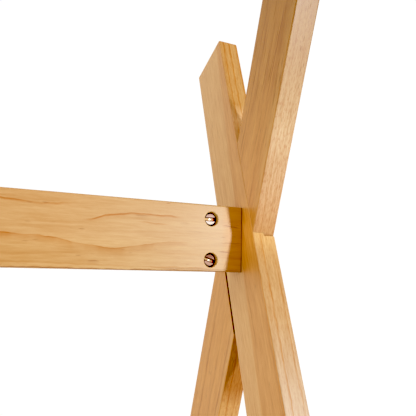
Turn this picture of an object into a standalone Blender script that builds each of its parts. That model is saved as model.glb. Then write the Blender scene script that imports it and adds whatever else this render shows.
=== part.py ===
"""A freestanding hanging rack of planed pine: two end frames of crossed legs, joined by one rail
at the crossing and two low rails. Every rail is held by bolts through the legs into cross nuts.

X runs along the rails, Y from front to back and Z up. The origin is on the floor, in the middle.
"""

import math

import bmesh
import bpy
from mathutils import Vector

# Driving dimensions, in metres.
LEG_WIDTH = 0.050
LEG_THICKNESS = 0.018
LEG_LEAN = math.radians(20)  # from the vertical
CROSSING_HEIGHT = 0.820
LEG_REACH = 0.182  # from the crossing up to a leg's square-cut end, along the leg
RAIL_LENGTH = 0.800
RAIL_THICKNESS = 0.020
RAIL_HEIGHT = 0.049
TOP_RAIL_DROP = 0.0042  # the top rail's middle lies this far below the crossing
LOW_RAIL_HEIGHT = 0.180
ARRIS = 0.001  # radius of the wood's rounded edges; the rails' ends are cut sharp

# The half-lap between two legs, each let into the other. Its tight sides fit. Its loose back side
# shows a dark seam, and its loose front side makes the outer half of the seam step down.
LAP_CLEARANCE = 0.0003
LAP_TIGHT_SIDE = 0.0003
LAP_BACK_SIDE = 0.0018
LAP_FRONT_SIDE = 0.0012

# Furniture bolts, M6 x 50, and cross nuts.
BOLT_SPACING = 0.030
TOP_BOLT_DROP = 0.001  # the top rail's bolts lie this far below its middle line
BOLT_RADIUS = 0.003
BOLT_LENGTH = 0.050
BOLT_BORE_RADIUS = 0.0035
HEAD_RADIUS = 0.0075
HEAD_THICKNESS = 0.0022
HEAD_CHAMFER = 0.0008
SOCKET_ACROSS_FLATS = 0.004
SOCKET_DEPTH = 0.0024
NUT_RADIUS = 0.005
NUT_LENGTH = 0.015
NUT_FROM_RAIL_END = 0.025
NUT_BORE_RADIUS = 0.0033
NUT_HOLE_RADIUS = 0.0053
NUT_HOLE_CHAMFER = 0.0004
NUT_SLOT_WIDTH = 0.0020
NUT_SLOT_DEPTH = 0.0015
NUT_TURN = math.radians(17)  # how far a lower nut's slot is off the level

# Pads under the feet.
PAD_THICKNESS = 0.003
PAD_SIZE = Vector((0.014, 0.046))
PAD_ROUNDING = 0.0008

GAP = 0.0003  # between pieces that touch
THROUGH = 0.002  # how far a cutter passes a face
HOLE_SEGMENTS = 20
NUT_SEGMENTS = 16
BOLT_SEGMENTS = 16
BORE_SEGMENTS = 12
SIDES = {"left": -1, "right": 1}
LEVELS = {"upper": 1, "lower": -1}


def clear_scene():
    for old in list(bpy.data.objects):
        bpy.data.objects.remove(old)


def make_material(name, colour, roughness, metallic=0.0):
    material = bpy.data.materials.new(name)
    material.use_nodes = True
    shader = material.node_tree.nodes["Principled BSDF"]
    shader.inputs["Base Color"].default_value = (*colour, 1)
    shader.inputs["Roughness"].default_value = roughness
    shader.inputs["Metallic"].default_value = metallic
    return material


def add_object(name, mesh, material=None):
    obj = bpy.data.objects.new(name, mesh)
    if material:
        mesh.materials.append(material)
    bpy.context.scene.collection.objects.link(obj)
    return obj


def rectangle(width, height):
    """The corners of a rectangle in the YZ plane, around the origin."""
    half_y, half_z = width / 2, height / 2
    return [(-half_y, -half_z), (half_y, -half_z), (half_y, half_z), (-half_y, half_z)]


def rounded_rectangle(width, height, radius, segments=3):
    """As rectangle, with its corners rounded."""
    outline = []
    for corner, (y, z) in enumerate(rectangle(width - 2 * radius, height - 2 * radius)):
        for step in range(segments + 1):
            angle = math.pi * (1 + corner / 2 + step / segments / 2)
            outline.append((y + radius * math.cos(angle), z + radius * math.sin(angle)))
    return outline


def prism(name, outline, length, material=None):
    """An outline in the YZ plane, pushed out by length along +X."""
    shape = bmesh.new()
    base = shape.faces.new([shape.verts.new((0, y, z)) for y, z in outline])
    pushed = bmesh.ops.extrude_face_region(shape, geom=[base])["geom"]
    moved = [v for v in pushed if isinstance(v, bmesh.types.BMVert)]
    bmesh.ops.translate(shape, vec=(length, 0, 0), verts=moved)
    bmesh.ops.recalc_face_normals(shape, faces=shape.faces)
    mesh = bpy.data.meshes.new(name)
    shape.to_mesh(mesh)
    shape.free()
    return add_object(name, mesh, material)


def turned(name, profile, segments, material=None):
    """A solid of revolution about X from (x, radius) points, with flat ends."""
    shape = bmesh.new()
    rings = []
    for x, radius in profile:
        angles = [2 * math.pi * i / segments for i in range(segments)]
        ring = [shape.verts.new((x, radius * math.cos(a), radius * math.sin(a))) for a in angles]
        rings.append(ring)
    for ring, following in zip(rings, rings[1:]):
        for i in range(segments):
            j = (i + 1) % segments
            shape.faces.new((ring[i], ring[j], following[j], following[i]))
    shape.faces.new(rings[0])
    shape.faces.new(rings[-1])
    bmesh.ops.recalc_face_normals(shape, faces=shape.faces)
    mesh = bpy.data.meshes.new(name)
    shape.to_mesh(mesh)
    shape.free()
    mesh.shade_smooth()
    mesh.set_sharp_from_angle(angle=math.radians(35))
    return add_object(name, mesh, material)


def round_arrises(obj, radius, segments=3):
    bevel = obj.modifiers.new("arrises", "BEVEL")
    bevel.width = radius
    bevel.segments = segments
    bevel.limit_method = "ANGLE"
    bevel.angle_limit = math.radians(40)


def cut(obj, cutter):
    """Takes the cutter's shape out of the object, and hides the cutter."""
    cutter.hide_render = True
    cutter.display_type = "WIRE"
    boolean = obj.modifiers.new(cutter.name, "BOOLEAN")
    boolean.operation = "DIFFERENCE"
    boolean.solver = "EXACT"
    boolean.object = cutter


def empty(name, location, turn=0.0):
    marker = bpy.data.objects.new(name, None)
    marker.location = location
    marker.rotation_euler.z = turn
    bpy.context.scene.collection.objects.link(marker)
    return marker


def leg_outline(lean):
    """A leg in its own plane, Z along the leg from the crossing: square on top, level at the foot."""
    foot = CROSSING_HEIGHT - PAD_THICKNESS - GAP
    half = LEG_WIDTH / 2
    ends = [(y, -(foot + y * math.sin(lean)) / math.cos(lean)) for y in (-half, half)]
    return ends + [(half, LEG_REACH), (-half, LEG_REACH)]


def lap_cutter(name, lean, front, back, low, high):
    """The space that a leg leaning by lean takes in the other leg, with room in front and behind."""
    half = LEG_WIDTH / 2
    reach = 2 * LEG_WIDTH
    outline = [(-half - front, -reach), (half + back, -reach), (half + back, reach), (-half - front, reach)]
    cutter = prism(name, outline, high - low)
    cutter.location.x = low
    cutter.rotation_euler.x = lean
    return cutter


def make_end_frame(side, pine, rubber):
    """Two legs, half-lapped where they cross. Its X points outwards, so the two frames are alike."""
    sign = SIDES[side]
    place = (sign * (RAIL_LENGTH / 2 + GAP), 0, CROSSING_HEIGHT)
    frame = empty(f"end_frame_{side}", place, 0 if sign > 0 else math.pi)
    middle = LEG_THICKNESS / 2
    half_gap = LAP_CLEARANCE / 2
    # The near leg runs through on the rail's side, and its foot is at the frame's own -Y.
    spans = {"near": (middle - half_gap, LEG_THICKNESS + THROUGH), "far": (-THROUGH, middle + half_gap)}
    rooms = {"near": (LAP_FRONT_SIDE, LAP_TIGHT_SIDE), "far": (LAP_TIGHT_SIDE, LAP_BACK_SIDE)}
    leans = {"near": -LEG_LEAN, "far": LEG_LEAN}
    legs = {}
    for which, lean in leans.items():
        at_front = (which == "near") == (sign > 0)
        foot = "front" if at_front else "back"
        leg = prism(f"leg_{side}_{foot}", leg_outline(lean), LEG_THICKNESS, pine)
        leg.rotation_euler.x = lean
        leg.parent = frame
        round_arrises(leg, ARRIS)
        cutter = lap_cutter(f"cut_lap_{side}_{foot}", -lean, *rooms[which], *spans[which])
        cutter.parent = frame
        cut(leg, cutter)
        legs[foot] = leg
        make_pad(f"pad_{side}_{foot}", frame, lean, rubber)
    return legs


def make_pad(name, frame, lean, rubber):
    pad = prism(name, rectangle(PAD_SIZE.y, PAD_THICKNESS), PAD_SIZE.x, rubber)
    foot_y = CROSSING_HEIGHT * math.tan(lean)
    inset = (LEG_THICKNESS - PAD_SIZE.x) / 2
    pad.location = (inset, foot_y, PAD_THICKNESS / 2 - CROSSING_HEIGHT)
    pad.parent = frame
    round_arrises(pad, PAD_ROUNDING, 1)


def nut_shape(name, turn, steel):
    """A cross nut along X, its slotted face at -X, and threaded across along its own Y."""
    half = NUT_LENGTH / 2
    nut = turned(name, [(-half, NUT_RADIUS), (half, NUT_RADIUS)], NUT_SEGMENTS, steel)
    slot = prism(f"cut_slot_{name}", rectangle(3 * NUT_RADIUS, NUT_SLOT_WIDTH), NUT_SLOT_DEPTH + THROUGH)
    slot.location.x = -half - THROUGH
    slot.rotation_euler.x = turn
    reach = NUT_RADIUS + THROUGH
    bore = turned(f"cut_bore_{name}", [(-reach, NUT_BORE_RADIUS), (reach, NUT_BORE_RADIUS)], BORE_SEGMENTS)
    bore.rotation_euler.z = math.pi / 2
    for cutter in (slot, bore):
        cutter.parent = nut
        cut(nut, cutter)
    return nut


def bolt_shape(name, steel):
    """A bolt along X: its tip at -X, its flat head with a hex socket at +X, its seat at the origin."""
    profile = [
        (-BOLT_LENGTH, BOLT_RADIUS),
        (0, BOLT_RADIUS),
        (0, HEAD_RADIUS),
        (HEAD_THICKNESS - HEAD_CHAMFER, HEAD_RADIUS),
        (HEAD_THICKNESS, HEAD_RADIUS - HEAD_CHAMFER),
    ]
    bolt = turned(name, profile, BOLT_SEGMENTS, steel)
    socket_radius = SOCKET_ACROSS_FLATS / math.sqrt(3)
    bottom = HEAD_THICKNESS - SOCKET_DEPTH
    socket_profile = [(bottom, socket_radius), (HEAD_THICKNESS + THROUGH, socket_radius)]
    socket = turned(f"cut_socket_{name}", socket_profile, 6)
    socket.parent = bolt
    cut(bolt, socket)
    return bolt


def make_rail(name, centre, nut_face, bolt_drop, legs, pine, steel):
    """A rail along X, with its two bolts and cross nuts at each end. nut_face is -1 where the nuts
    go in from the front and 1 where they go in from the back. legs are those that each end meets.
    """
    holder = empty(f"{name}_centre", centre)
    section = rounded_rectangle(RAIL_THICKNESS, RAIL_HEIGHT, ARRIS)
    rail = prism(name, section, RAIL_LENGTH, pine)
    rail.location.x = -RAIL_LENGTH / 2
    rail.parent = holder
    outward = nut_face * RAIL_THICKNESS / 2
    hole_end = -nut_face * (NUT_LENGTH / 2 + GAP)
    bore_reach = LEG_THICKNESS + GAP + THROUGH
    for side, sign in SIDES.items():
        for level, up in LEVELS.items():
            tag = f"{name}_{side}_{level}"
            height = up * BOLT_SPACING / 2 - bolt_drop
            nut_place = Vector((sign * (RAIL_LENGTH / 2 - NUT_FROM_RAIL_END), 0, height))
            depth = abs(outward - hole_end)
            hole_profile = [
                (0, NUT_HOLE_RADIUS),
                (depth - NUT_HOLE_CHAMFER, NUT_HOLE_RADIUS),
                (depth + THROUGH, NUT_HOLE_RADIUS + NUT_HOLE_CHAMFER + THROUGH),
            ]
            hole = turned(f"cut_hole_{tag}", hole_profile, HOLE_SEGMENTS)
            hole.location = nut_place + Vector((0, hole_end, 0))
            hole.rotation_euler.z = nut_face * math.pi / 2

            inner_end = RAIL_LENGTH / 2 + LEG_THICKNESS + GAP - BOLT_LENGTH - THROUGH
            outer_end = RAIL_LENGTH / 2 + bore_reach
            bore_profile = [(inner_end, BOLT_BORE_RADIUS), (outer_end, BOLT_BORE_RADIUS)]
            bore = turned(f"cut_bolt_{tag}", bore_profile, BORE_SEGMENTS)
            bore.location.z = height
            bore.rotation_euler.z = 0 if sign > 0 else math.pi

            nut = nut_shape(f"nut_{tag}", NUT_TURN if level == "lower" else 0.0, steel)
            nut.location = nut_place
            nut.rotation_euler.z = -nut_face * math.pi / 2
            bolt = bolt_shape(f"bolt_{tag}", steel)
            bolt.location = (sign * (RAIL_LENGTH / 2 + LEG_THICKNESS + 2 * GAP), 0, height)
            bolt.rotation_euler.z = 0 if sign > 0 else math.pi
            for piece in (hole, bore, nut, bolt):
                piece.parent = holder
            cut(rail, hole)
            cut(rail, bore)
            for leg in legs[side]:
                cut(leg, bore)


def main():
    clear_scene()
    pine = make_material("pine", (0.72, 0.47, 0.22), 0.45)
    rail_pine = make_material("rail_pine", (0.78, 0.52, 0.27), 0.45)
    steel = make_material("nickel", (0.62, 0.60, 0.57), 0.22, 1.0)
    rubber = make_material("pad_rubber", (0.08, 0.075, 0.07), 0.8)
    frames = {side: make_end_frame(side, pine, rubber) for side in SIDES}
    top = Vector((0, 0, CROSSING_HEIGHT - TOP_RAIL_DROP))
    all_legs = {side: list(legs.values()) for side, legs in frames.items()}
    make_rail("rail_top", top, -1, TOP_BOLT_DROP, all_legs, rail_pine, steel)
    low_y = (CROSSING_HEIGHT - LOW_RAIL_HEIGHT) * math.tan(LEG_LEAN)
    for foot, way in (("front", -1), ("back", 1)):
        centre = Vector((0, way * low_y, LOW_RAIL_HEIGHT))
        ends = {side: [legs[foot]] for side, legs in frames.items()}
        make_rail(f"rail_{foot}", centre, -way, 0.0, ends, rail_pine, steel)


main()
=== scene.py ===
import math

import bmesh
import bpy
from mathutils import Euler, Matrix, Vector


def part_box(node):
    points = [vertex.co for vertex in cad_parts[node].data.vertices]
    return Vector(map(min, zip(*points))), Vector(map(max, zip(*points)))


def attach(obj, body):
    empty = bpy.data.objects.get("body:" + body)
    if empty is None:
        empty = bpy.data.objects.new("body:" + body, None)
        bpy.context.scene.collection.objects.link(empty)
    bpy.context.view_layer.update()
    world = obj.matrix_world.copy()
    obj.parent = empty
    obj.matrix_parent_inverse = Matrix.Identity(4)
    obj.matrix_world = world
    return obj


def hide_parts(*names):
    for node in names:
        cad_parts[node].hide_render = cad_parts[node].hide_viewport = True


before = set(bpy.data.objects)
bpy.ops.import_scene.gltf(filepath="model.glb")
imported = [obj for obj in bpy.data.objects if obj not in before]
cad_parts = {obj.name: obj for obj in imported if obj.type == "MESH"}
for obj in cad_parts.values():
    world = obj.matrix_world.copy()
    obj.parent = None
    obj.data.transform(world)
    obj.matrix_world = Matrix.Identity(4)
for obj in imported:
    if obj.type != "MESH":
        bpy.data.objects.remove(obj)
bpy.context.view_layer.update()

# ---------------------------------------------------------------------------------------------
# Places, read from the frame, in metres. X runs along the rails, Y to the back and Z up.
# ---------------------------------------------------------------------------------------------
TOP_RAIL_DROP = 0.0042  # the top rail's middle lies this far below the legs' crossing
LEG_LEAN = math.radians(20)
LEG_ENDS = (-0.850, 0.182)  # a leg's ends, along the leg from the crossing
# A leg's faces through its thickness, half its width, and the colour deep inside its half-lap, a
# near-black painted shade in the seam.
LEG_CORE = ((0.0, 0.018), 0.025, (0.045, 0.016, 0.016))

rail_low, rail_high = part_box("rail_top")
CROSSING = Vector((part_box("leg_right_front")[0].x, 0, (rail_low.z + rail_high.z) / 2 + TOP_RAIL_DROP))
SIDES = {"left": -1, "right": 1}

# The camera, from the crossing's inner face.
CAMERA_OFFSET = Vector((-0.1589, -0.3059, -0.0263))
CAMERA_YAW = math.radians(23.78)  # from +Y towards +X
CAMERA_PITCH = math.radians(7.75)
CAMERA_ROLL = math.radians(1.35)
CAMERA_LENS = 38.41  # mm, on a 36 mm sensor

# Light. The key stands to the front and right, level with the crossing.
KEY_YAW = math.radians(28.5)  # from -Y towards +X
KEY_RISE = math.radians(5)
KEY_DISTANCE = 2.4
KEY_SIZE = (0.22, 0.8)
KEY_POWER = 30
KEY_COLOUR = (0.955, 0.985, 0.985)
FRONT_FILL = (0.54, 0.275, 0.12)  # the room behind the camera is dim and warm
BACK_FILL = (1.08, 1.08, 1.0)
CAMERA_WHITE = (1.02, 1.02, 1.02)
BLACK_LEVEL = 0.06
BACKDROP_DIRECTION = (-0.60, 0.80, 0.0)
SIDE_DIRECTION = (0.80, 0.60, 0.0)  # a reflector that only the hidden sides see
FLOOR_RADIUS = 2.3


# ---------------------------------------------------------------------------------------------
# Node trees, in short calls
# ---------------------------------------------------------------------------------------------
OBJECT_SPACE = 3  # the output of a texture coordinate node that is fixed to the object


class Graph:
    """Adds nodes to one tree. Every call gives back the new node's output socket."""

    def __init__(self, tree):
        self.tree = tree

    def add(self, kind, inputs=None, output=0, **settings):
        node = self.tree.nodes.new(kind)
        for key, value in settings.items():
            setattr(node, key, value)
        for key, value in (inputs or {}).items():
            self.plug(node.inputs[key], value)
        return node.outputs[output]

    def plug(self, socket, value):
        if isinstance(value, bpy.types.NodeSocket):
            self.tree.links.new(value, socket)
        else:
            socket.default_value = value

    def math(self, operation, a, b=0.0, c=0.0):
        return self.add("ShaderNodeMath", {0: a, 1: b, 2: c}, operation=operation)

    def invert(self, value):
        return self.math("SUBTRACT", 1.0, value)

    def vector(self, operation, a, b=(0, 0, 0), output=0):
        return self.add("ShaderNodeVectorMath", {0: a, 1: b}, output, operation=operation)

    def dot(self, a, b):
        return self.vector("DOT_PRODUCT", a, b, output=1)

    def length(self, vector):
        return self.vector("LENGTH", vector, output=1)

    def join(self, x, y, z):
        return self.add("ShaderNodeCombineXYZ", {0: x, 1: y, 2: z})

    def split(self, vector):
        node = self.tree.nodes.new("ShaderNodeSeparateXYZ")
        self.plug(node.inputs[0], vector)
        return node.outputs

    def noise(self, space, frequency, detail=2.0, roughness=0.5, output=0):
        """Noise in a space that is first stretched by frequency, in cycles per metre."""
        inputs = {
            "Vector": self.vector("MULTIPLY", space, frequency),
            "Scale": 1.0,
            "Detail": detail,
            "Roughness": roughness,
        }
        return self.add("ShaderNodeTexNoise", inputs, output)

    def swing(self, value, amount):
        """A noise value from 0 to 1, turned into one around 0 that reaches about amount."""
        return self.math("MULTIPLY", self.math("SUBTRACT", value, 0.5), 2 * amount)

    def step(self, value, low, high):
        """0 below low and 1 above high, smooth between them."""
        inputs = {"Value": value, "From Min": low, "From Max": high}
        return self.add("ShaderNodeMapRange", inputs, interpolation_type="SMOOTHSTEP")

    def slope(self, value, low, high, start=0.0):
        """start below low and 1 above high, in a straight line between them."""
        inputs = {"Value": value, "From Min": low, "From Max": high, "To Min": start}
        return self.add("ShaderNodeMapRange", inputs)

    def mix(self, share, a, b, blend="MIX"):
        inputs = {0: share, 6: opaque(a), 7: opaque(b)}
        return self.add("ShaderNodeMix", inputs, 2, data_type="RGBA", blend_type=blend)

    def tint(self, colour, factor):
        return self.mix(1.0, colour, factor, "MULTIPLY")

    def ramp(self, value, stops):
        node = self.tree.nodes.new("ShaderNodeValToRGB")
        self.plug(node.inputs[0], value)
        elements = node.color_ramp.elements
        while len(elements) < len(stops):
            elements.new(0.5)
        for element, (place, shade) in zip(elements, stops):
            element.position = place
            element.color = opaque(shade if isinstance(shade, tuple) else (shade,) * 3)
        return node.outputs[0]


def opaque(colour):
    """A colour of three numbers gets its fourth. A socket stays as it is."""
    return (*colour, 1) if isinstance(colour, tuple) else colour


class Finish(Graph):
    """The tree of a new material."""

    def __init__(self, name):
        self.material = bpy.data.materials.new(name)
        self.material.use_nodes = True
        super().__init__(self.material.node_tree)
        self.shader = self.tree.nodes["Principled BSDF"]
        self.where = self.add("ShaderNodeTexCoord", output=OBJECT_SPACE)

    def shade(self, name, value):
        """Sets one of the shader's inputs: a number stays on its socket, and a socket is linked."""
        self.plug(self.shader.inputs[name], value)

    def emboss(self, height, strength, distance):
        inputs = {"Strength": strength, "Distance": distance, "Height": height}
        self.shade("Normal", self.add("ShaderNodeBump", inputs))


# ---------------------------------------------------------------------------------------------
# Clear-finished pine
# ---------------------------------------------------------------------------------------------
# Noise in the wood, in cycles per metre through, across and along a board.
GRAIN_SWAY = (10, 10, 5)
PATCHES = (40, 40, 70)
WOBBLE = (30, 30, 110)
BROAD_STREAKS = (160, 160, 4)
FIBRES = (560, 560, 48)
BLOTCHES = (34, 34, 9)
DARK_STREAKS = (430, 430, 26)
PORES = (1000, 1000, 240)
RESIN_DASHES = (560, 560, 70)
RESIN_PATCHES = (170, 170, 30)
END_SPECKLE = (2600, 2600, 300)

# One year's ring, from its pale early wood to its thin line of late wood.
YEAR = [(0.0, 0.0), (0.45, 0.10), (0.80, 0.45), (0.93, 1.0), (0.97, 0.85), (1.0, 0.0)]
EDGE_LATE_TINT = (0.78, 0.50, 0.22)
STREAK_COLOUR = (0.33, 0.12, 0.0)
PORE_TINT = (0.72, 0.42, 0.28)
END_TINT = (0.80, 0.69, 0.52)
# Painted shade: a dark line at a rail's end, where it meets the leg.
END_GAP_SHADE_COLOUR = (0.10, 0.03, 0.008)


class Pine(Finish):
    """Planed pine as a solid: yearly rings round a pith, streaks along the grain and resin flecks.

    place and turn set the board's own space: X through its thickness, Y across its wide face and
    Z along the grain. look holds what differs from board to board, in metres and colours.
    """

    def __init__(self, name, place, turn, look):
        super().__init__(name)
        self.turn = turn
        self.look = look
        inputs = {"Vector": self.where, "Location": place, "Rotation": turn.to_euler()}
        own = self.add("ShaderNodeMapping", inputs, vector_type="TEXTURE")
        seed = Vector((look["seed"] * 3.7, look["seed"] * 1.9, look["seed"] * 5.3))
        self.through, self.across, self.along = self.split(own)
        self.space = self.vector("ADD", own, seed)
        self.normal = self.add("ShaderNodeNewGeometry", output=1)
        self.on_edge = self.step(self.facing((0, 1, 0)), 0.6, 0.9)
        self.wander()

        late = self.late_wood()
        colour = self.heart_and_sap(late)
        if "edge" in look:
            colour = self.narrow_faces(colour, late)
        colour = self.fibres(colour)
        colour = self.tones(colour)
        if "edge_grit" in look:
            colour = self.pores(colour)
        if "streaks" in look:
            colour = self.dark_streaks(colour)
        fleck = self.flecks()
        colour = self.mix(fleck, colour, look["fleck"])
        colour, end = self.end_grain(colour)
        self.shade("Base Color", colour)
        self.lacquer(late, fleck, end)

    def facing(self, axis):
        """How squarely a face looks along one of the board's own axes, either way."""
        return self.math("ABSOLUTE", self.dot(self.normal, self.turn @ Vector(axis)))

    def wander(self):
        """The grain wanders slowly, so the rings' lines sway along the board."""
        look = self.look
        sway_x, sway_y, _ = self.split(self.noise(self.space, GRAIN_SWAY, output=1))
        self.sway_x = self.swing(sway_x, look["sway"])
        self.sway_y = self.swing(sway_y, look["sway"])
        self.drift = self.math("MULTIPLY", self.along, look["tilt"])
        patchy = self.noise(self.space, PATCHES)
        self.patchy = self.slope(patchy, 0.32, 0.56, start=0.5)
        wobble = self.swing(self.noise(self.space, WOBBLE), 0.0012)
        self.wobble = self.math("ADD", self.math("MULTIPLY", self.sway_y, 0.25), wobble)

    def late_wood(self):
        """Rings of uneven width, and the board's own grain lines over them."""
        look = self.look
        pith_x, pith_y = look["pith"]
        from_pith_x = self.math("ADD", self.math("SUBTRACT", self.through, pith_x), self.sway_x)
        from_pith_y = self.math("SUBTRACT", self.math("SUBTRACT", self.across, pith_y), self.drift)
        from_pith_y = self.math("ADD", from_pith_y, self.sway_y)
        radius = self.length(self.join(from_pith_x, from_pith_y, 0.0))
        uneven = self.noise(self.join(radius, look["seed"], 0.0), (90, 1, 1), detail=1.0)
        ring = self.math("ADD", self.math("DIVIDE", radius, look["ring"]), self.swing(uneven, 1.1))
        late = self.ramp(self.math("FRACT", ring), YEAR)
        year = self.math("ADD", self.math("FLOOR", ring), look["seed"])
        strength = self.add("ShaderNodeTexWhiteNoise", {"W": year}, noise_dimensions="1D")
        strength = self.math("MULTIPLY_ADD", strength, 0.75, 0.25)
        late = self.math("MULTIPLY", late, self.math("MULTIPLY", strength, look["late_depth"]))
        return self.draw_lines(late, "lines", self.across)

    def draw_lines(self, value, kind, crosswise):
        for line in self.look.get(kind, ()):
            shape = self.math("MULTIPLY", self.grain_line(crosswise, line), self.patchy)
            value = self.math("MAXIMUM", value, shape)
        return value

    def grain_line(self, crosswise, line):
        """One line of late wood: a crisp edge above, fading downwards over its own width."""
        start, end = line["span"]
        path = self.math("SUBTRACT", self.along, start)
        path = self.math("MULTIPLY_ADD", path, line.get("slope", 0.0), line["at"])
        for centre, length, height in line.get("swells", ()):
            path = self.math("ADD", path, self.swell(centre, length, height))
        below = self.math("SUBTRACT", self.math("SUBTRACT", path, self.wobble), crosswise)
        crisp = self.step(below, -0.0004, 0.0002)
        fade = self.invert(self.step(below, 0.0, line["width"]))
        tail = self.invert(self.step(below, 0.0, line.get("tail", 0.004)))
        tail = self.math("MULTIPLY", tail, line.get("tail_depth", 0.2))
        shape = self.math("MULTIPLY", crisp, self.math("MAXIMUM", fade, tail))
        rim = line.get("rim", 0.015)
        begun = self.step(self.along, start - rim, start + rim)
        not_over = self.invert(self.step(self.along, end - rim, end + rim))
        shape = self.math("MULTIPLY", shape, self.math("MULTIPLY", begun, not_over))
        return self.math("MULTIPLY", shape, line["depth"])

    def swell(self, centre, length, height):
        """A smooth hump along the board, height high, that fades over length to either side."""
        away = self.math("DIVIDE", self.math("SUBTRACT", self.along, centre), length)
        fall = self.math("MULTIPLY", self.math("MULTIPLY", away, away), -1.0)
        return self.math("MULTIPLY", self.math("POWER", math.e, fall), height)

    def heart_and_sap(self, late):
        """Heartwood is the darker, redder side of a soft border that follows the rings."""
        look = self.look
        border = self.swing(self.noise(self.space, GRAIN_SWAY, detail=3.0), 0.004)
        border = self.math("ADD", self.math("SUBTRACT", self.across, self.drift), border)
        heart = self.step(border, *look["heart"])
        pale = self.mix(heart, look["early"], look["early_heart"])
        dark = self.mix(heart, look["late"], look["late_heart"])
        return self.mix(late, pale, dark)

    def narrow_faces(self, colour, late):
        """The narrow faces cut through other wood than the wide ones; on the right legs their colour along
        the board is partly painted light and shade.
        """
        look = self.look
        late = self.math("MULTIPLY", late, look["edge_depth"])
        late = self.draw_lines(late, "edge_lines", self.through)
        start = look["edge"][0][0]
        end = look["edge"][-1][0]
        stops = [((place - start) / (end - start), shade) for place, shade in look["edge"]]
        pale = self.ramp(self.slope(self.along, start, end), stops)
        dark = self.tint(pale, look.get("edge_late", EDGE_LATE_TINT))
        return self.mix(self.on_edge, colour, self.mix(late, pale, dark))

    def fibres(self, colour):
        """Streaks along the grain, broad and fine, and blotches where the finish sank in."""
        self.broad = self.noise(self.space, BROAD_STREAKS, detail=3.0, roughness=0.6)
        self.fine = self.noise(self.space, FIBRES, detail=4.0, roughness=0.75)
        self.blotch = self.noise(self.space, BLOTCHES)
        tone = self.swing(self.fine, self.look.get("fine", 0.42))
        tone = self.math("ADD", self.swing(self.broad, 0.13), tone)
        tone = self.math("ADD", tone, self.swing(self.blotch, 0.10))
        warmth = [self.math("MULTIPLY_ADD", tone, amount, 1.0) for amount in (0.65, 1.2, 1.8)]
        return self.tint(colour, self.join(*warmth))

    def tones(self, colour):
        """Some boards have a tone of their own. Tones that grow along a board and a pale place are partly
        or wholly painted light and shade.
        """
        look = self.look
        if "tint" in look:
            colour = self.tint(colour, look["tint"])
        for start, finish, tint in look.get("shades", ()):
            share = self.slope(self.along, start, finish)
            colour = self.mix(share, colour, self.tint(colour, tint))
        if "pale" in look:
            centre, length, amounts = look["pale"]
            lift = [self.math("ADD", self.swell(centre, length, amount), 1.0) for amount in amounts]
            colour = self.tint(colour, self.join(*lift))
        return colour

    def pores(self, colour):
        """Some narrow faces are peppered with small red-brown pores."""
        pores = self.step(self.noise(self.space, PORES, roughness=0.6), 0.50, 0.62)
        pores = self.math("MULTIPLY", pores, self.look["edge_grit"])
        share = self.math("MULTIPLY", pores, self.on_edge)
        return self.mix(share, colour, self.tint(colour, PORE_TINT))

    def dark_streaks(self, colour):
        """Dark, wavy streaks gather towards one end of some boards."""
        start, finish, depth = self.look["streaks"]
        wavy = self.vector("ADD", self.space, self.join(self.sway_x, self.sway_y, 0.0))
        streak = self.step(self.noise(wavy, DARK_STREAKS, detail=3.0, roughness=0.65), 0.54, 0.66)
        fainter_on_edge = self.math("MULTIPLY_ADD", self.on_edge, -0.7, 1.0)
        share = self.math("MULTIPLY", self.step(self.along, start, finish), fainter_on_edge)
        streak = self.math("MULTIPLY", self.math("MULTIPLY", streak, share), depth)
        return self.mix(streak, colour, STREAK_COLOUR)

    def flecks(self):
        """Resin canals cut lengthwise: short, thin, brown dashes, and the board's listed marks, two of
        which on the top rail are painted shade along its lower arris.
        """
        inputs = {
            "Vector": self.vector("MULTIPLY", self.space, RESIN_DASHES),
            "Scale": 1.0,
            "Randomness": 1.0,
        }
        dash = self.add("ShaderNodeTexVoronoi", inputs)
        fleck = self.invert(self.step(dash, 0.06, 0.20))
        low, high = self.look.get("patch", (0.56, 0.66))
        patch = self.step(self.noise(self.space, RESIN_PATCHES, detail=1.0), low, high)
        fleck = self.math("MULTIPLY", self.math("MULTIPLY", fleck, patch), self.look.get("flecks", 0.5))
        for line in self.look.get("marks", ()):
            fleck = self.math("MAXIMUM", fleck, self.grain_line(self.across, line))
        return fleck

    def end_grain(self, colour):
        """End grain drinks more of the finish. Deep inside the legs' half-laps the wood is painted
        near-black as painted shade, and inside the rails' holes it is unfinished wood painted brighter,
        partly as painted light.
        """
        low_end, high_end = self.look["ends"]
        past_high = self.step(self.along, high_end - 0.002, high_end - 0.001)
        past_low = self.invert(self.step(self.along, low_end + 0.001, low_end + 0.002))
        beyond = self.math("MAXIMUM", past_high, past_low)
        end = self.math("MULTIPLY", self.step(self.facing((0, 0, 1)), 0.65, 0.95), beyond)
        speckle = self.noise(self.space, END_SPECKLE, detail=1.0)
        tone = self.math("ADD", self.swing(speckle, 0.25), 1.0)
        tint = self.tint(END_TINT, self.join(tone, tone, tone))
        colour = self.mix(end, colour, self.tint(colour, tint))

        (low_face, high_face), half_width, core_colour = self.look["core"]
        depth = self.math("SUBTRACT", self.through, low_face)
        depth = self.math("MINIMUM", depth, self.math("SUBTRACT", high_face, self.through))
        from_middle = self.math("ABSOLUTE", self.across)
        depth = self.math("MINIMUM", depth, self.math("SUBTRACT", half_width, from_middle))
        # Past a little depth the wood takes the core colour: painted shade in the legs' laps, brightened
        # unfinished wood in the rails' holes.
        inside = self.math("MULTIPLY", self.step(depth, 0.0003, 0.0009), self.invert(beyond))
        colour = self.mix(inside, colour, core_colour)
        # A thin dark line at the rail's end is painted shade where it butts against the leg.
        if "end_gap_shade" in self.look:
            width = self.look["end_gap_shade"]
            line = self.step(self.math("ABSOLUTE", self.along), high_end - width, high_end - width * 0.6)
            line = self.math("MULTIPLY", line, self.math("MULTIPLY", self.patchy, 0.75))
            colour = self.mix(line, colour, END_GAP_SHADE_COLOUR)
        return colour, end

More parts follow.
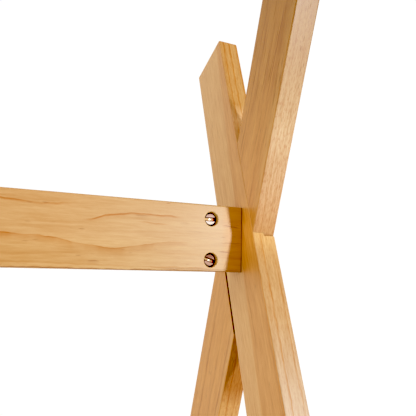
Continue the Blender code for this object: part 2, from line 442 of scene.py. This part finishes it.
    def lacquer(self, late, fleck, end):
        """Satin: the late wood stands a little proud, and the fine grain still shows in it."""
        relief = self.math("MULTIPLY", self.fine, 0.45)
        relief = self.math("ADD", self.math("MULTIPLY", late, 0.5), relief)
        relief = self.math("ADD", relief, self.math("MULTIPLY", fleck, -0.8))
        relief = self.math("ADD", relief, self.math("MULTIPLY", self.broad, 0.3))
        self.emboss(relief, 0.25, 0.0002)
        gloss = self.math("ADD", self.swing(self.blotch, 0.08), self.math("MULTIPLY", end, 0.2))
        gloss = self.math("ADD", gloss, self.swing(self.fine, 0.08))
        self.shade("Roughness", self.math("ADD", gloss, 0.40))
        self.shade("Coat Weight", 0.12)
        self.shade("Coat Roughness", 0.30)


LEG_COLOURS = {
    "early": (0.66, 0.385, 0.155),
    "late": (0.48, 0.20, 0.045),
    "early_heart": (0.625, 0.325, 0.108),
    "late_heart": (0.42, 0.16, 0.03),
    "fleck": (0.22, 0.08, 0.02),
}
RAIL_COLOURS = {
    "early": (0.67, 0.475, 0.245),
    "late": (0.52, 0.215, 0.045),
    "early_heart": (0.67, 0.475, 0.235),
    "late_heart": (0.50, 0.23, 0.05),
    "fleck": (0.30, 0.10, 0.03),
}
FRONT_LEG_LINES = (
    dict(at=-0.0222, span=(-0.40, -0.060), width=0.0022, depth=0.4),
    dict(at=-0.0040, span=(-0.085, -0.022), slope=0.02, width=0.0030, depth=0.6),
    dict(at=0.0145, span=(0.02, 0.12), width=0.0025, depth=0.35),
    dict(at=-0.0085, span=(0.02, 0.09), width=0.0015, depth=0.4, tail=0.006, tail_depth=0.2),
    dict(at=-0.0150, span=(0.095, 0.145), width=0.0015, depth=0.4, tail=0.006, tail_depth=0.2),
)
BACK_LEG_LINES = (
    dict(at=0.0070, span=(-0.45, -0.070), width=0.0035, depth=0.8, slope=0.01),
    dict(at=-0.0060, span=(-0.45, -0.060), width=0.0020, depth=0.5),
    dict(at=-0.0150, span=(-0.45, -0.065), width=0.0030, depth=0.8, slope=-0.01),
    dict(at=0.0165, span=(0.060, 0.180), width=0.0014, depth=0.8, slope=-0.02),
    dict(at=0.0100, span=(0.100, 0.155), width=0.0020, depth=0.9),
    dict(at=-0.0030, span=(0.105, 0.145), width=0.0016, depth=0.8, slope=0.03),
    dict(at=-0.0090, span=(0.110, 0.165), width=0.0024, depth=1.0, slope=-0.03),
    dict(at=-0.0110, span=(0.020, 0.060), width=0.0016, depth=0.8, slope=0.02),
    dict(at=-0.0120, span=(0.110, 0.250), width=0.0160, depth=0.55),
)
BACK_LEG_EDGE = (
    dict(at=0.0060, span=(-0.30, -0.050), width=0.0014, depth=0.9),
    dict(at=0.0105, span=(-0.30, -0.085), width=0.0012, depth=0.8, slope=0.01),
    dict(at=0.0150, span=(-0.135, -0.060), width=0.0014, depth=0.7),
)
FRONT_LEG_EDGE = (
    dict(at=0.0064, span=(-0.30, -0.012), width=0.0018, depth=1.0),
    dict(at=0.0150, span=(-0.30, -0.030), width=0.0016, depth=0.8),
    dict(at=0.0042, span=(0.0, 0.20), width=0.0016, depth=0.9),
    dict(at=0.0095, span=(0.02, 0.20), width=0.0020, depth=1.0, slope=0.003),
    dict(at=0.0170, span=(0.02, 0.20), width=0.0020, depth=0.9),
)
# What a look holds, with places and sizes in metres in the board's own space:
#   pith and ring: where the rings' centre lies, through and across, and a ring's width
#   tilt and sway: how the grain leans and how far it wanders
#   heart: where the border of the heartwood starts and ends, across
#   late_depth, edge_depth: how strongly the rings show, and how much more so on the narrow faces
#   lines, edge_lines, marks: grain lines on the wide faces, on the narrow faces, and dark dashes, two of
#       them painted shade
#   edge: the narrow faces' colour at places along the board, partly painted light and shade
#   tint: a tone for the whole board
#   shades: tones that grow from a start to a finish along the board, partly or wholly painted light and
#       shade
#   pale: the centre and length of a painted pool of light, and how much lighter it is
#   streaks: where dark streaks start, where they are full, and their depth
#   fine, flecks, patch: the contrast of the fibres and of the resin dashes, and where dashes gather
LEG_LOOKS = {
    # Painted light on the front leg: it grows lighter towards its lower end, its pale place near the
    # crossing lifts the shade where the rail meets it, and the bright edge stop at 0.092 lifts the shadow
    # that the other leg casts on its narrow face.
    "right_front": dict(
        seed=1.0, pith=(-0.075, 0.012), tilt=-0.07, ring=0.0046, sway=0.0010, heart=(-0.004, -0.0065),
        late_depth=0.12, edge_depth=1.5, shades=((-0.01, -0.06, (1.11, 1.14, 1.20)),),
        lines=FRONT_LEG_LINES, edge_lines=FRONT_LEG_EDGE, pale=(-0.004, 0.020, (0.41, 0.53, 0.55)),
        edge=((-0.17, (0.58, 0.53, 0.41)), (-0.07, (0.575, 0.41, 0.21)), (-0.02, (0.59, 0.405, 0.195)),
              (0.076, (0.76, 0.57, 0.31)), (0.092, (0.92, 0.76, 0.52)), (0.110, (0.66, 0.455, 0.21))),
        edge_late=(0.84, 0.57, 0.29), edge_grit=0.22,
    ),
    # The back leg darkens towards its upper end, partly its tone and partly painted shade. The dark
    # stretch on its narrow faces, from -0.118 to -0.045, is partly dark wood and partly a painted shadow
    # cast by the front leg.
    "right_back": dict(
        seed=2.0, pith=(-0.085, -0.010), tilt=0.02, ring=0.0052, sway=0.0014, heart=(-0.030, -0.010),
        late_depth=0.3, edge_depth=1.5, shades=((0.03, 0.17, (0.65, 0.595, 0.37)),),
        tint=(1.09, 1.05, 0.93), streaks=(-0.02, 0.15, 0.8),
        flecks=0.7, patch=(0.46, 0.60), lines=BACK_LEG_LINES,
        edge=((-0.17, (0.66, 0.46, 0.24)), (-0.134, (0.62, 0.40, 0.18)), (-0.118, (0.44, 0.21, 0.055)),
              (-0.098, (0.43, 0.20, 0.05)), (-0.085, (0.48, 0.235, 0.062)), (-0.045, (0.48, 0.235, 0.062)),
              (0.01, (0.575, 0.365, 0.185)), (0.08, (0.74, 0.61, 0.47)), (0.18, (0.52, 0.35, 0.23))),
        edge_lines=BACK_LEG_EDGE, edge_grit=0.40,
    ),
    "left_front": dict(
        seed=3.0, pith=(0.070, 0.010), tilt=0.03, ring=0.0050, sway=0.0018, heart=(0.002, 0.012),
        late_depth=0.75,
    ),
    "left_back": dict(
        seed=4.0, pith=(-0.070, 0.020), tilt=-0.03, ring=0.0045, sway=0.0015, heart=(0.010, -0.004),
        late_depth=0.7,
    ),
}
TOP_RAIL_MARKS = (
    dict(at=0.0102, span=(0.385, 0.397), slope=-0.10, width=0.0008, depth=0.85, rim=0.003),
    dict(at=-0.0030, span=(0.383, 0.399), slope=0.04, width=0.0007, depth=0.55, rim=0.004),
    dict(at=-0.0095, span=(0.382, 0.390), width=0.0011, depth=0.75, rim=0.003),
    dict(at=-0.0188, span=(0.288, 0.294), width=0.0008, depth=0.6, rim=0.002),
    # The next two long dashes, along the rail's lower arris, are painted shade.
    dict(at=-0.0225, span=(0.340, 0.398), width=0.0007, depth=0.55, rim=0.006),
    dict(at=-0.0236, span=(0.120, 0.402), width=0.0012, depth=0.75),
    dict(at=0.0100, span=(0.351, 0.357), width=0.0006, depth=0.4, rim=0.002),
    dict(at=0.0130, span=(0.318, 0.326), width=0.0006, depth=0.45, rim=0.002),
    dict(at=0.0045, span=(0.356, 0.368), width=0.0006, depth=0.3, rim=0.003),
)
TOP_RAIL_LINES = (
    dict(at=-0.0030, span=(0.13, 0.350), swells=((0.301, 0.032, -0.0067), (0.262, 0.012, 0.0006)),
         width=0.0018, depth=1.0, tail=0.0080, tail_depth=0.65),
    dict(at=0.0145, span=(0.286, 0.350), swells=((0.278, 0.020, -0.0075),),
         width=0.0018, depth=1.0, rim=0.006),
    dict(at=0.0185, span=(0.05, 0.272), swells=((0.258, 0.014, -0.0015),), width=0.0020, depth=0.8),
    dict(at=0.0088, span=(0.322, 0.340), slope=-0.03, width=0.0012, depth=0.8, rim=0.006),
    dict(at=-0.0185, span=(0.10, 0.310), slope=-0.012, width=0.0016, depth=0.35),
    dict(at=-0.0215, span=(0.33, 0.372), width=0.0012, depth=0.8, rim=0.012),
)
RAIL_LOOKS = {
    "top": dict(
        seed=5.0, pith=(0.090, 0.004), tilt=0.01, ring=0.0080, sway=0.0025, heart=(-0.002, -0.014),
        late_depth=0.25, fine=0.27, lines=TOP_RAIL_LINES, marks=TOP_RAIL_MARKS,
        # The top rail's shades are painted light: less red towards its right end stands for a highlight,
        # and deeper orange at its very end for the shadow the leg casts there.
        shades=((0.27, 0.375, (0.94, 1.0, 1.05)), (0.383, 0.391, (1.04, 0.86, 0.60))),
    ),
    "front": dict(
        seed=6.0, pith=(0.040, -0.010), tilt=-0.02, ring=0.0055, sway=0.0022, heart=(-0.012, 0.004),
        late_depth=0.7,
    ),
    "back": dict(
        seed=7.0, pith=(-0.050, 0.030), tilt=0.02, ring=0.0050, sway=0.0020, heart=(0.014, 0.000),
        late_depth=0.7,
    ),
}


def leg_turn(side_sign, lean):
    """The turn from a leg's own space to the frame's."""
    half_turn = 0 if side_sign > 0 else math.pi
    return Euler((lean, 0, half_turn)).to_matrix()


RAIL_TURN = Matrix(((0, 0, 1), (1, 0, 0), (0, 1, 0)))
# Unfinished wood inside the rail's holes, painted brighter and more orange, partly as painted light on
# their shaded walls.
RAIL_RAW_WOOD_AND_PAINTED_LIGHT = (1.0, 0.68, 0.28)
# The width of the painted shade at the rail's end.
RAIL_END_GAP_SHADE_WIDTH = 0.0007


def dress_boards():
    for side, sign in SIDES.items():
        for foot in ("front", "back"):
            near = (foot == "front") == (sign > 0)
            turn = leg_turn(sign, -LEG_LEAN if near else LEG_LEAN)
            place = Vector((sign * CROSSING.x, 0, CROSSING.z))
            look = {**LEG_COLOURS, **LEG_LOOKS[f"{side}_{foot}"], "ends": LEG_ENDS, "core": LEG_CORE}
            finish_board(f"leg_{side}_{foot}", Pine(f"pine_leg_{side}_{foot}", place, turn, look))
    for which, own_look in RAIL_LOOKS.items():
        low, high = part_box(f"rail_{which}")
        middle = (low + high) / 2
        half = (high - low) / 2
        look = {
            **RAIL_COLOURS,
            **own_look,
            "ends": (-half.x, half.x),
            "core": ((-half.y, half.y), half.z, RAIL_RAW_WOOD_AND_PAINTED_LIGHT),
            "end_gap_shade": RAIL_END_GAP_SHADE_WIDTH,
        }
        finish_board(f"rail_{which}", Pine(f"pine_rail_{which}", middle, RAIL_TURN, look))


def finish_board(node, pine):
    """Gives a CAD board its wood, and shades its arrises round and its faces flat."""
    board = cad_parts[node]
    board.data.materials.clear()
    board.data.materials.append(pine.material)
    weld = board.modifiers.new("weld", "WELD")
    weld.merge_threshold = 0.00001
    split = board.modifiers.new("rims", "EDGE_SPLIT")
    split.split_angle = math.radians(35)
    board.modifiers.new("flat_faces", "WEIGHTED_NORMAL")


# ---------------------------------------------------------------------------------------------
# Metal fittings
# ---------------------------------------------------------------------------------------------
SLOT_WIDTH = 0.0020
SLOT_DEPTH = 0.0015
NUT_TURNS = {"upper": 0.0, "lower": math.radians(17)}  # how far a nut's slot is turned
# Colours painted on the nuts' ends as painted reflections, a painted glint and painted shade.
UPPER_HALF_REFLECTION_TINT = (0.66, 0.52, 0.50)
LIP_SHADE_COLOUR = (0.07, 0.020, 0.015)
SLOT_REFLECTION_COLOUR = (0.36, 0.25, 0.13)
CENTRE_GLINT_COLOUR = (0.80, 0.76, 0.70)
SLOT_END_SHADE_COLOUR = (0.24, 0.03, 0.03)
RIM_SHADE_COLOUR = (0.045, 0.020, 0.014)


class Nickel(Finish):
    """Plated steel with a little tarnish and fine scratches."""

    def __init__(self, name, base, roughness):
        super().__init__(name)
        tarnish = self.noise(self.where, (420, 420, 420), detail=3.0)
        scratch = self.noise(self.where, (6000, 900, 6000))
        tone = self.math("ADD", self.swing(tarnish, 0.10), 1.0)
        plating = self.tint(base, self.join(tone, tone, self.math("MULTIPLY", tone, tone)))
        self.shade("Base Color", self.painted_light(plating))
        self.shade("Roughness", self.math("ADD", self.swing(scratch, 0.10), roughness))
        self.emboss(scratch, 0.15, 0.00005)
        self.shade("Metallic", 1.0)

    def painted_light(self, colour):
        """Painted light and shade on the plating: none here."""
        return colour


class NutNickel(Nickel):
    """The same on a nut, with painted light: a brassy slot with a bright centre and a tinted upper half
    (painted reflections and a painted glint), and dark lips, a dark end to the slot and a dark rim
    (painted shade).
    """

    def __init__(self, name, base, roughness, half_length, radius, turn):
        self.half_length = half_length
        self.radius = radius
        self.turn = turn
        super().__init__(name, base, roughness)

    def painted_light(self, colour):
        axial, side, up = self.split(self.where)
        below_face = self.math("ADD", axial, self.half_length)
        # The upper half is tinted darker and pinker as a painted reflection.
        colour = self.mix(self.step(up, 0.0, 0.0030), colour, self.tint(colour, UPPER_HALF_REFLECTION_TINT))

        # Painted shade: dark bands on the face beside the slot, and dark on everything sunk below the
        # face.
        off_slot = self.math("MULTIPLY", side, -math.sin(self.turn))
        off_slot = self.math("MULTIPLY_ADD", up, math.cos(self.turn), off_slot)
        off_slot = self.math("SUBTRACT", self.math("ABSOLUTE", off_slot), SLOT_WIDTH / 2)
        beside_slot = self.invert(self.step(off_slot, 0.0003, 0.0007))
        lip_shade = self.math("MAXIMUM", self.step(below_face, 0.00004, 0.0002), beside_slot)
        colour = self.mix(lip_shade, colour, LIP_SHADE_COLOUR)

        # The slot's floor is painted brassy as a painted reflection, with a painted glint at its centre.
        in_slot = self.step(below_face, 0.0009, 0.0012)
        colour = self.mix(in_slot, colour, SLOT_REFLECTION_COLOUR)
        out = self.length(self.join(0.0, side, up))
        centre = self.invert(self.step(out, 0.0004, 0.0012))
        colour = self.mix(self.math("MULTIPLY", centre, in_slot), colour, CENTRE_GLINT_COLOUR)
        # One end of the slot is painted dark red-brown, as painted shade and a painted dark reflection.
        slot_end_shade = self.math("MULTIPLY", in_slot, self.step(side, -0.0018, -0.0032))
        colour = self.mix(slot_end_shade, colour, SLOT_END_SHADE_COLOUR)
        # A dark ring at the nut's rim is painted shade in the gap round the nut.
        rim_shade = self.step(out, self.radius - 0.0013, self.radius - 0.0008)
        return self.mix(rim_shade, colour, RIM_SHADE_COLOUR)


def turned(name, profile, segments=48):
    """A closed solid turned about X from (x, radius) points. A radius of 0 makes a centre point."""
    shape = bmesh.new()
    rings = []
    for x, radius in profile:
        count = segments if radius else 1
        angles = [2 * math.pi * i / count for i in range(count)]
        rings.append([shape.verts.new((x, radius * math.cos(a), radius * math.sin(a))) for a in angles])
    for ring, following in zip(rings, rings[1:]):
        for i in range(segments):
            j = (i + 1) % segments
            corners = [ring[i % len(ring)], ring[j % len(ring)]]
            corners += [following[j % len(following)], following[i % len(following)]]
            shape.faces.new(list(dict.fromkeys(corners)))
    bmesh.ops.recalc_face_normals(shape, faces=shape.faces)
    mesh = bpy.data.meshes.new(name)
    shape.to_mesh(mesh)
    shape.free()
    mesh.shade_smooth()
    mesh.set_sharp_from_angle(angle=math.radians(30))
    piece = bpy.data.objects.new(name, mesh)
    bpy.context.scene.collection.objects.link(piece)
    return piece


def slab(name, size, middle, turn=0.0):
    """A box cutter, turned about X."""
    shape = bmesh.new()
    bmesh.ops.create_cube(shape, size=1.0)
    bmesh.ops.scale(shape, vec=size, verts=shape.verts)
    bmesh.ops.translate(shape, vec=middle, verts=shape.verts)
    bmesh.ops.rotate(shape, cent=(0, 0, 0), matrix=Matrix.Rotation(turn, 3, "X"), verts=shape.verts)
    mesh = bpy.data.meshes.new(name)
    shape.to_mesh(mesh)
    shape.free()
    cutter = bpy.data.objects.new(name, mesh)
    bpy.context.scene.collection.objects.link(cutter)
    return cutter


def carve(piece, cutter):
    """Takes the cutter out of the piece for good, and throws the cutter away."""
    boolean = piece.modifiers.new("carve", "BOOLEAN")
    boolean.operation = "DIFFERENCE"
    boolean.object = cutter
    bpy.context.view_layer.update()
    carved = bpy.data.meshes.new_from_object(piece.evaluated_get(bpy.context.evaluated_depsgraph_get()))
    piece.modifiers.clear()
    old = piece.data
    piece.data = carved
    bpy.data.meshes.remove(old)
    bpy.data.objects.remove(cutter)


def soften(piece, width, segments=2):
    """Rounds the piece's sharp edges."""
    bevel = piece.modifiers.new("edges", "BEVEL")
    bevel.width = width
    bevel.segments = segments
    bevel.limit_method = "ANGLE"
    bevel.angle_limit = math.radians(40)
    bevel.harden_normals = True


def stand_in(piece, node, material):
    """The piece takes the CAD node's place on the rack's one body."""
    piece.data.materials.clear()
    piece.data.materials.append(material)
    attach(piece, "root")
    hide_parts(node)


def make_nut(node, facing, turn, material):
    """A slotted cross nut. facing is -1 where its slot looks to the front, and 1 to the back."""
    low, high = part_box(node)
    radius = (high.x - low.x) / 2
    half = (high.y - low.y) / 2
    dimple = [(-half + 0.0003, 0.0), (-half, 0.0010)]
    round_rim = [(-half, radius - 0.0008), (-half + 0.0004, radius - 0.0004), (-half + 0.0014, radius)]
    chamfer = [(half - 0.0006, radius), (half, radius - 0.0006), (half, 0.0)]
    nut = turned(f"{node}_fine", dimple + round_rim + chamfer)
    carve(nut, slab("slot", (2 * SLOT_DEPTH, 3 * radius, SLOT_WIDTH), (-half, 0, 0), turn))
    soften(nut, 0.0003)
    nut.location = (low + high) / 2
    nut.rotation_euler.z = -facing * math.pi / 2
    stand_in(nut, node, material)


HEAD_THICKNESS = 0.0022
SHANK_RADIUS = 0.0030
THREAD_PITCH = 0.001
THREAD_DEPTH = 0.00035
THREAD_TURNS = 22
TIP_CHAMFER = 0.0006
SOCKET_WIDTH = 0.004  # across its flats
SOCKET_FLOOR = -0.0002


def make_bolt(node, sign, material):
    """A furniture bolt with a flat, round-edged head and a hex socket, its tip towards the middle."""
    low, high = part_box(node)
    middle = (low + high) / 2
    head_radius = (high.z - low.z) / 2
    head = HEAD_THICKNESS
    root = SHANK_RADIUS - THREAD_DEPTH
    tip = head - (high.x - low.x)
    profile = [(tip, 0.0), (tip, SHANK_RADIUS - 0.0009), (tip + TIP_CHAMFER, root)]
    for i in range(THREAD_TURNS):
        start = tip + TIP_CHAMFER + i * THREAD_PITCH
        profile += [(start + THREAD_PITCH / 2, SHANK_RADIUS), (start + THREAD_PITCH, root)]
    neck = [(-0.0008, root), (-0.0003, SHANK_RADIUS), (0.0, SHANK_RADIUS + 0.0004)]
    round_head = [
        (0.0, head_radius - 0.0003),
        (0.0003, head_radius),
        (head - 0.0009, head_radius),
        (head - 0.0004, head_radius - 0.0003),
        (head - 0.0001, head_radius - 0.0010),
        (head, head_radius - 0.0017),
        (head, 0.0),
    ]
    bolt = turned(f"{node}_fine", profile + neck + round_head, 40)
    corner = SOCKET_WIDTH / math.sqrt(3)
    top = head + 0.001
    hexagon = [(SOCKET_FLOOR, 0.0), (SOCKET_FLOOR, corner), (top, corner), (top, 0.0)]
    carve(bolt, turned("socket", hexagon, 6))
    bolt.location = (high.x - head if sign > 0 else low.x + head, middle.y, middle.z)
    bolt.rotation_euler.z = 0 if sign > 0 else math.pi
    stand_in(bolt, node, material)


def make_fittings():
    low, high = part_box("nut_rail_top_right_upper")
    half_length = (high.y - low.y) / 2
    radius = (high.x - low.x) / 2
    size = (half_length, radius)
    upper = NutNickel("nickel_nut", (0.42, 0.38, 0.36), 0.50, *size, NUT_TURNS["upper"])
    # The lower nuts' plating is a darker copy, painted shade for their dimmer reflection.
    lower = NutNickel("nickel_nut_shaded", (0.34, 0.24, 0.20), 0.55, *size, NUT_TURNS["lower"])
    plates = {"upper": upper.material, "lower": lower.material}
    head_plate = Nickel("nickel_bolt", (0.74, 0.71, 0.65), 0.28).material
    for rail, facing in (("top", -1), ("front", 1), ("back", -1)):
        for side, sign in SIDES.items():
            for level, turn in NUT_TURNS.items():
                tag = f"rail_{rail}_{side}_{level}"
                make_nut(f"nut_{tag}", facing, turn, plates[level])
                make_bolt(f"bolt_{tag}", sign, head_plate)


# ---------------------------------------------------------------------------------------------
# Foot pads
# ---------------------------------------------------------------------------------------------
RUBBER = (0.028, 0.026, 0.024)
DUSTY_RUBBER = (0.075, 0.068, 0.060)
PAD_CORNER = 0.004


def pad_rubber():
    g = Finish("pad_rubber")
    grain = g.noise(g.where, (1800, 1800, 1800), detail=3.0)
    dust = g.noise(g.where, (90, 90, 90), detail=3.0)
    g.shade("Base Color", g.mix(g.step(dust, 0.45, 0.75), RUBBER, DUSTY_RUBBER))
    g.shade("Roughness", g.math("ADD", g.swing(grain, 0.12), 0.78))
    g.emboss(grain, 0.4, 0.0001)
    return g.material


def make_pads():
    rubber = pad_rubber()
    for side in SIDES:
        for foot in ("front", "back"):
            node = f"pad_{side}_{foot}"
            low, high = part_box(node)
            size = high - low
            shape = bmesh.new()
            bmesh.ops.create_cube(shape, size=1.0)
            bmesh.ops.scale(shape, vec=size, verts=shape.verts)
            upright = [e for e in shape.edges if abs(e.verts[0].co.z - e.verts[1].co.z) > size.z / 2]
            bmesh.ops.bevel(
                shape, geom=upright, offset=PAD_CORNER, segments=6, affect="EDGES", profile=0.5
            )
            mesh = bpy.data.meshes.new(f"{node}_round")
            shape.to_mesh(mesh)
            shape.free()
            mesh.shade_smooth()
            piece = bpy.data.objects.new(f"{node}_round", mesh)
            piece.location = (low + high) / 2
            bpy.context.scene.collection.objects.link(piece)
            soften(piece, 0.0006, 3)
            stand_in(piece, node, rubber)


# ---------------------------------------------------------------------------------------------
# Stage
# ---------------------------------------------------------------------------------------------
FLOOR_COLOUR = (0.86, 0.92, 1.0)
FLOOR_TONE = 0.90


def make_floor():
    """A pale round floor that fades to white at its rim."""
    shape = bmesh.new()
    bmesh.ops.create_circle(shape, cap_ends=True, radius=FLOOR_RADIUS, segments=96)
    mesh = bpy.data.meshes.new("floor")
    shape.to_mesh(mesh)
    shape.free()
    floor = bpy.data.objects.new("floor", mesh)
    bpy.context.scene.collection.objects.link(floor)
    g = Finish("floor_pale")
    mottle = g.noise(g.where, (6, 6, 6), detail=3.0)
    tone = g.math("ADD", g.swing(mottle, 0.01), FLOOR_TONE)
    g.shade("Base Color", g.vector("MULTIPLY", g.join(tone, tone, tone), FLOOR_COLOUR))
    g.shade("Roughness", 0.7)
    rim = g.step(g.length(g.where), FLOOR_RADIUS * 0.35, FLOOR_RADIUS * 0.95)
    glow = g.add("ShaderNodeEmission", {"Color": (1, 1, 1, 1), "Strength": 1.0})
    blend = g.add("ShaderNodeMixShader", {0: rim, 1: g.shader.outputs[0], 2: glow})
    g.plug(g.tree.nodes["Material Output"].inputs["Surface"], blend)
    mesh.materials.append(g.material)


def make_world():
    """White to the camera. Other rays find a bright backdrop behind and a dim room in front."""
    world = bpy.data.worlds.new("studio")
    bpy.context.scene.world = world
    world.use_nodes = True
    g = Graph(world.node_tree)
    direction = g.add("ShaderNodeTexCoord")
    to_camera = g.add("ShaderNodeLightPath")
    behind = g.step(g.dot(direction, BACKDROP_DIRECTION), -0.45, 0.45)
    beside = g.step(g.dot(direction, SIDE_DIRECTION), 0.45, 0.95)
    fill = g.mix(g.math("MAXIMUM", behind, beside), FRONT_FILL, BACK_FILL)
    seen = g.mix(to_camera, fill, CAMERA_WHITE)
    g.plug(g.tree.nodes["Background"].inputs["Color"], seen)


def aim(obj, target):
    obj.rotation_euler = (target - obj.location).to_track_quat("-Z", "Y").to_euler()


def make_key():
    light = bpy.data.lights.new("key", "AREA")
    light.shape = "RECTANGLE"
    light.size, light.size_y = KEY_SIZE
    light.energy = KEY_POWER
    light.color = KEY_COLOUR
    key = bpy.data.objects.new("key", light)
    bpy.context.scene.collection.objects.link(key)
    flat = Vector((math.sin(KEY_YAW), -math.cos(KEY_YAW), math.tan(KEY_RISE)))
    key.location = CROSSING + flat.normalized() * KEY_DISTANCE
    aim(key, CROSSING)


def make_camera():
    data = bpy.data.cameras.new("camera")
    data.lens = CAMERA_LENS
    data.clip_start = 0.01
    camera = bpy.data.objects.new("camera", data)
    bpy.context.scene.collection.objects.link(camera)
    ahead = Vector((math.sin(CAMERA_YAW), math.cos(CAMERA_YAW), math.tan(CAMERA_PITCH))).normalized()
    right = Vector((math.cos(CAMERA_YAW), -math.sin(CAMERA_YAW), 0))
    up = right.cross(ahead)
    turned_right = right * math.cos(CAMERA_ROLL) + up * math.sin(CAMERA_ROLL)
    turned_up = turned_right.cross(ahead)
    turn = Matrix((turned_right, turned_up, -ahead)).transposed()
    camera.matrix_world = Matrix.Translation(CROSSING + CAMERA_OFFSET) @ turn.to_4x4()
    bpy.context.scene.camera = camera


def set_tone():
    """A plain view of the light, with the darkest tones pressed down as in a studio print."""
    settings = bpy.context.scene.view_settings
    settings.view_transform = "Standard"
    settings.use_curve_mapping = True
    settings.curve_mapping.black_level = (BLACK_LEVEL,) * 3
    settings.curve_mapping.update()


dress_boards()
make_fittings()
make_pads()
make_floor()
make_world()
make_key()
make_camera()
set_tone()
